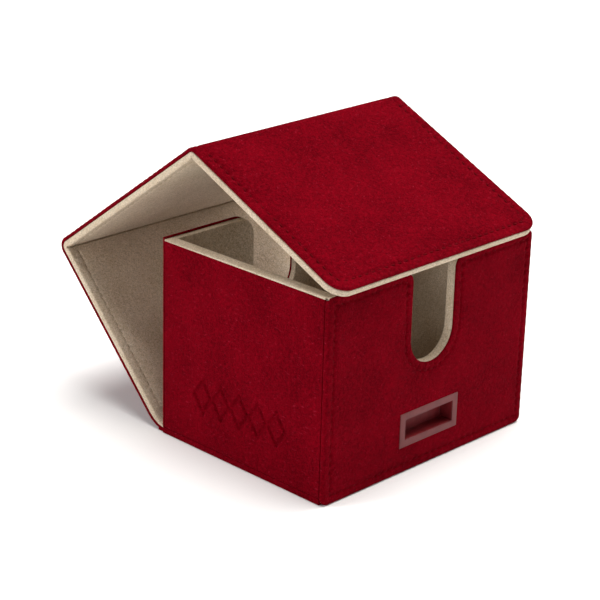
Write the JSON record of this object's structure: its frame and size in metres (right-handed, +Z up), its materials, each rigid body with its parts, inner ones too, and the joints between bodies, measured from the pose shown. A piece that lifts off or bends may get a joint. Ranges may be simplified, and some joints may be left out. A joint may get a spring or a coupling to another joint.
{
  "type": "card deck box",
  "caption": "Suede-covered landscape deck box: lined open tray with thumb notches, glued into a wrap whose three hinged panels fold over as a magnetic lid.",
  "frame": {"origin": "centre of the tray's footprint, on the surface it stands on", "axes": "+Z up; the front with the latch recess faces -Y; the lid's hinge axes run along X"},
  "size_m": [0.105, 0.1423, 0.1105],
  "materials": {
    "suede": "crimson suede with a short nap",
    "microfibre": "cream microfibre lining",
    "board": "grey paperboard",
    "latch": "satin moulded plastic, dark red-brown",
    "magnet": "nickel-plated magnet"
  },
  "bodies": {
    "tray": {"base_board": "board", "base_cover": "suede", "front_board": "board", "front_cover": "suede", "front_magnets": "magnet", "front_binding": "microfibre", "floor_board": "board", "floor_lining": "microfibre", "left_wall_board": "board", "left_wall_cover": "suede", "left_wall_lining": "microfibre", "right_wall_board": "board", "right_wall_cover": "suede", "right_wall_lining": "microfibre", "back_wall_board": "board", "back_wall_cover": "suede", "back_wall_lining": "microfibre", "front_wall_board": "board", "front_wall_lining": "microfibre", "latch_bezel": "latch", "latch_cup": "latch", "keeper_magnets": "magnet", "latch_pad": "microfibre", "bottom_fold": "suede"},
    "lid_back": {"lid_back_board": "board", "lid_back_cover": "suede", "lid_back_lining": "microfibre", "top_fold": "suede"},
    "lid_top": {"lid_top_board": "board", "lid_top_cover": "suede", "lid_top_lining": "microfibre", "ridge_fold": "suede"},
    "flap": {"flap_board": "board", "flap_cover": "suede", "flap_lining": "microfibre", "flap_magnets": "magnet"}
  },
  "joints": [
    {"name": "back_hinge", "type": "hinge", "parent": "tray", "child": "lid_back", "pos_m": [0, 0.04438, 0.0024], "axis": [1, 0, 0], "range_deg": [-46.17, 0], "deforming": ["bottom_fold"]},
    {"name": "top_hinge", "type": "hinge", "parent": "lid_back", "child": "lid_top", "pos_m": [0, 0.09418, 0.05659], "axis": [1, 0, 0], "range_deg": [-97.4, 0], "deforming": ["top_fold"]},
    {"name": "flap_hinge", "type": "hinge", "parent": "lid_top", "child": "flap", "pos_m": [0, 0.0266, 0.10647], "axis": [1, 0, 0], "range_deg": [-61.1, 0], "deforming": ["ridge_fold"]}
  ]
}
